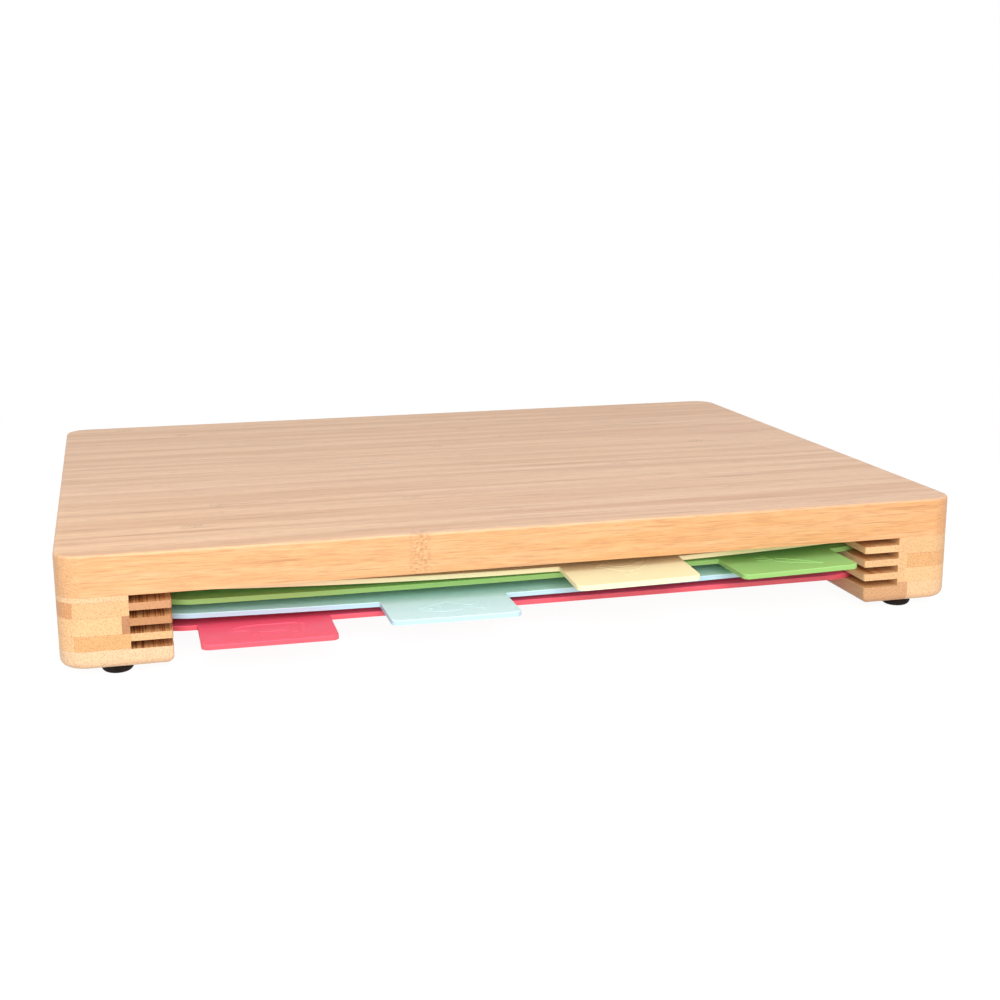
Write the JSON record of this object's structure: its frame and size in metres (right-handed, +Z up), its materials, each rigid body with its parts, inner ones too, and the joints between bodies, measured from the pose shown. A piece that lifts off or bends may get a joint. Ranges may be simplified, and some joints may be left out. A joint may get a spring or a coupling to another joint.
{
  "type": "cutting board with sliding cutting mats",
  "caption": "Bamboo cutting board on two slotted side rails, with thin coloured cutting mats that slide out to the front by their tabs.",
  "frame": {"origin": "on the floor that the feet stand on, at the centre of the whole footprint with the tabs", "axes": "+X to the right seen from the front, where the tabs stand out; +Y to the back; +Z up"},
  "size_m": [0.38, 0.3002, 0.0492],
  "materials": {
    "bamboo": "pale laminated bamboo, sanded and lightly oiled",
    "yellow_plastic": "flexible polypropylene, fine satin",
    "green_plastic": "flexible polypropylene, fine satin",
    "blue_plastic": "flexible polypropylene, fine satin",
    "red_plastic": "flexible polypropylene, fine satin",
    "foot_rubber": "moulded grey-black rubber",
    "screw_steel": "zinc plated"
  },
  "bodies": {
    "frame": {"top_board": "bamboo", "left_rail": "bamboo", "right_rail": "bamboo", "stop_rail": "bamboo", "left_rail_screw_1": "screw_steel", "left_rail_screw_2": "screw_steel", "left_rail_screw_3": "screw_steel", "right_rail_screw_1": "screw_steel", "right_rail_screw_2": "screw_steel", "right_rail_screw_3": "screw_steel", "stop_rail_left_screw": "screw_steel", "stop_rail_right_screw": "screw_steel", "front_left_foot": "foot_rubber", "back_left_foot": "foot_rubber", "front_right_foot": "foot_rubber", "back_right_foot": "foot_rubber", "front_left_foot_screw": "screw_steel", "back_left_foot_screw": "screw_steel", "front_right_foot_screw": "screw_steel", "back_right_foot_screw": "screw_steel"},
    "yellow_mat": {"yellow_mat": "yellow_plastic"},
    "green_mat": {"green_mat": "green_plastic"},
    "blue_mat": {"blue_mat": "blue_plastic"},
    "red_mat": {"red_mat": "red_plastic"}
  },
  "joints": [
    {"name": "yellow_mat_slide", "type": "slide", "parent": "frame", "child": "yellow_mat", "axis": [0, -1, 0], "range_m": [-0.0065, 0.25]},
    {"name": "green_mat_slide", "type": "slide", "parent": "frame", "child": "green_mat", "axis": [0, -1, 0], "range_m": [-0.0024, 0.25]},
    {"name": "blue_mat_slide", "type": "slide", "parent": "frame", "child": "blue_mat", "axis": [0, -1, 0], "range_m": [-0.0052, 0.25]},
    {"name": "red_mat_slide", "type": "slide", "parent": "frame", "child": "red_mat", "axis": [0, -1, 0], "range_m": [-0.0024, 0.25]}
  ]
}
